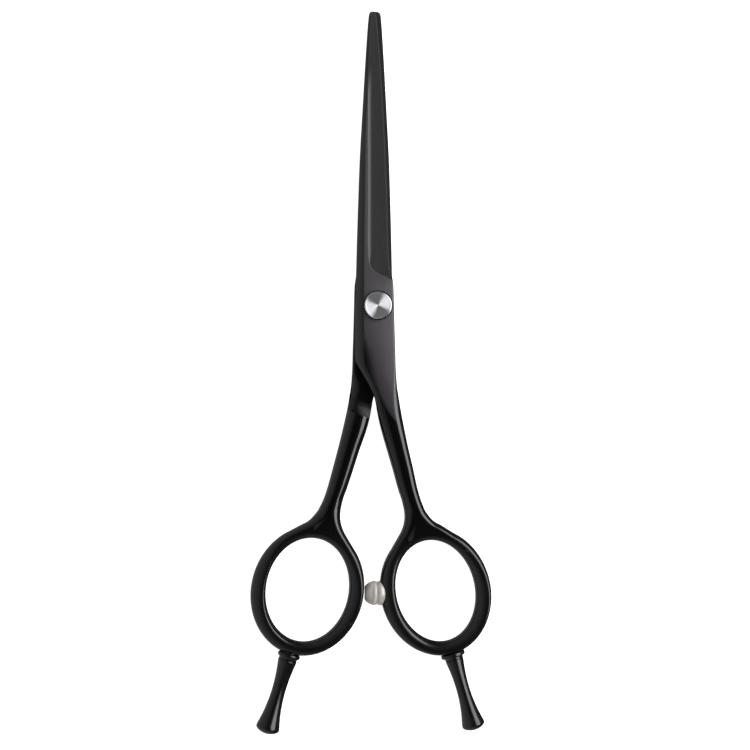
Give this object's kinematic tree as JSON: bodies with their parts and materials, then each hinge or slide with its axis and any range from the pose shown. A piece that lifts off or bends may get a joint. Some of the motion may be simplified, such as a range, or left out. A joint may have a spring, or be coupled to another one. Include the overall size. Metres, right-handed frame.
{
  "type": "hair cutting shears",
  "caption": "Black-coated hair cutting shears with offset finger rings, a spun steel pivot head, a silicone bumper and a removable finger rest under each ring.",
  "frame": {"origin": "on the pivot's axis, at the flat back of the tension screw, which rests on the table", "axes": "+Y towards the blade tips, +Z out of the front half along the pivot's axis, +X towards the front half's ring side as seen from the front"},
  "size_m": [0.0569, 0.1706, 0.0061],
  "materials": {
    "black_coating": "black titanium-style coating: gloss on shanks and rings, satin on the ground faces",
    "rest_coating": "semi-gloss black coating on turned metal",
    "spun_steel": "fine concentric spun finish",
    "bare_steel": "plain turned steel",
    "dark_polymer": "matte acetal",
    "clear_silicone": "translucent silicone rubber"
  },
  "bodies": {
    "rear_half": {"rear_blade": "black_coating", "pivot_bush": "dark_polymer", "spring_washer": "bare_steel", "rest_washer_left": "rest_coating", "rest_stud_left": "bare_steel"},
    "front_half": {"front_blade": "black_coating", "pivot_bolt": "spun_steel", "head_washer": "dark_polymer", "thrust_washer": "dark_polymer", "bumper": "clear_silicone", "rest_washer_right": "rest_coating", "rest_stud_right": "bare_steel"},
    "tension_screw": {"tension_screw": "bare_steel"},
    "finger_rest_left": {"finger_rest_left": "rest_coating"},
    "finger_rest_right": {"finger_rest_right": "rest_coating"}
  },
  "joints": [
    {"name": "blade_pivot", "type": "hinge", "parent": "rear_half", "child": "front_half", "pos_m": [0, 0, 0.0028], "axis": [0, 0, 1], "range_deg": [0, 120]},
    {"name": "tension_adjust", "type": "hinge", "parent": "front_half", "child": "tension_screw", "pos_m": [0, 0, 0.0028], "axis": [0, 0, 1], "range_deg": [-90, 90]},
    {"name": "rest_turn_left", "type": "hinge", "parent": "rear_half", "child": "finger_rest_left", "pos_m": [-0.02106, -0.08246, 0.0028], "axis": [-0.2807, -0.9598, 0], "range_deg": [0, 360]},
    {"name": "rest_turn_right", "type": "hinge", "parent": "front_half", "child": "finger_rest_right", "pos_m": [0.01762, -0.08233, 0.0028], "axis": [0.2807, -0.9598, 0], "range_deg": [0, 360]}
  ]
}
